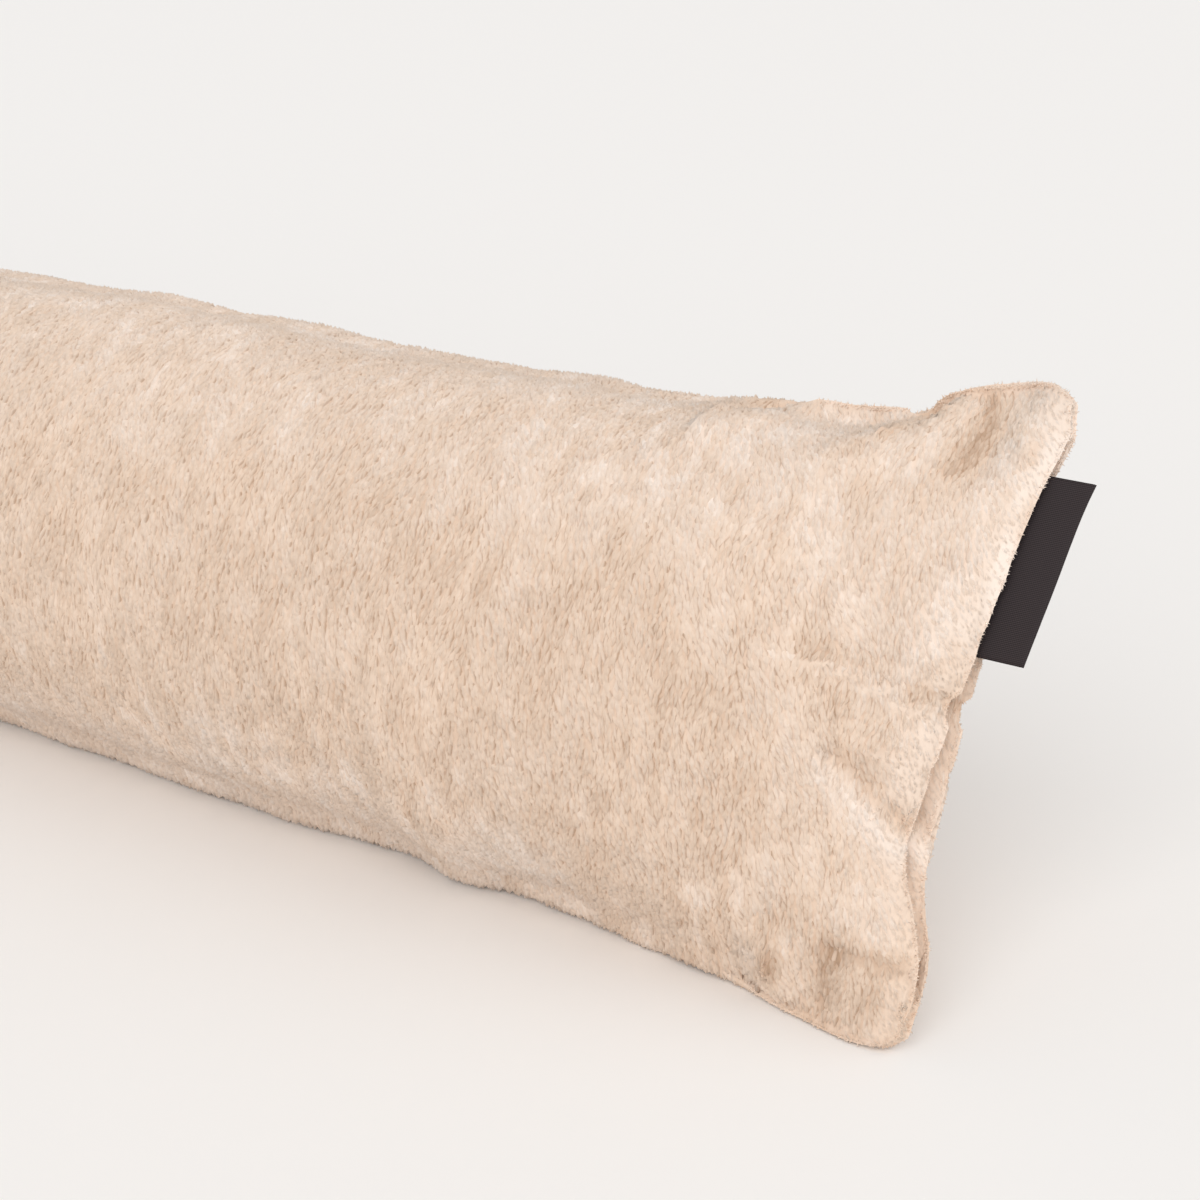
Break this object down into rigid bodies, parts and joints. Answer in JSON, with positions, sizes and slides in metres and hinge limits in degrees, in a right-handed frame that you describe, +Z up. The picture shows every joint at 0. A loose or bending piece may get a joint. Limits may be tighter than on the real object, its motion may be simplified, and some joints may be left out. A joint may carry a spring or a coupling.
{
  "type": "draught excluder",
  "caption": "Long filled plush roll that lies along the foot of a door to stop draughts, with flat eared ends and a plain folded ribbon label caught in one end seam.",
  "frame": {"origin": "the point of the flat foot on the floor under the middle of the roll", "axes": "+X along the roll to the labelled end, +Y towards the door so that the front panel faces -Y, +Z up from the floor"},
  "size_m": [0.8895, 0.1347, 0.1483],
  "materials": {
    "plush": "short warm beige pile, matt, brushed lighter in patches",
    "ribbon": "black woven satin ribbon, left bare"
  },
  "bodies": {
    "root": {"cushion": "plush", "label": "ribbon"}
  },
  "joints": []
}
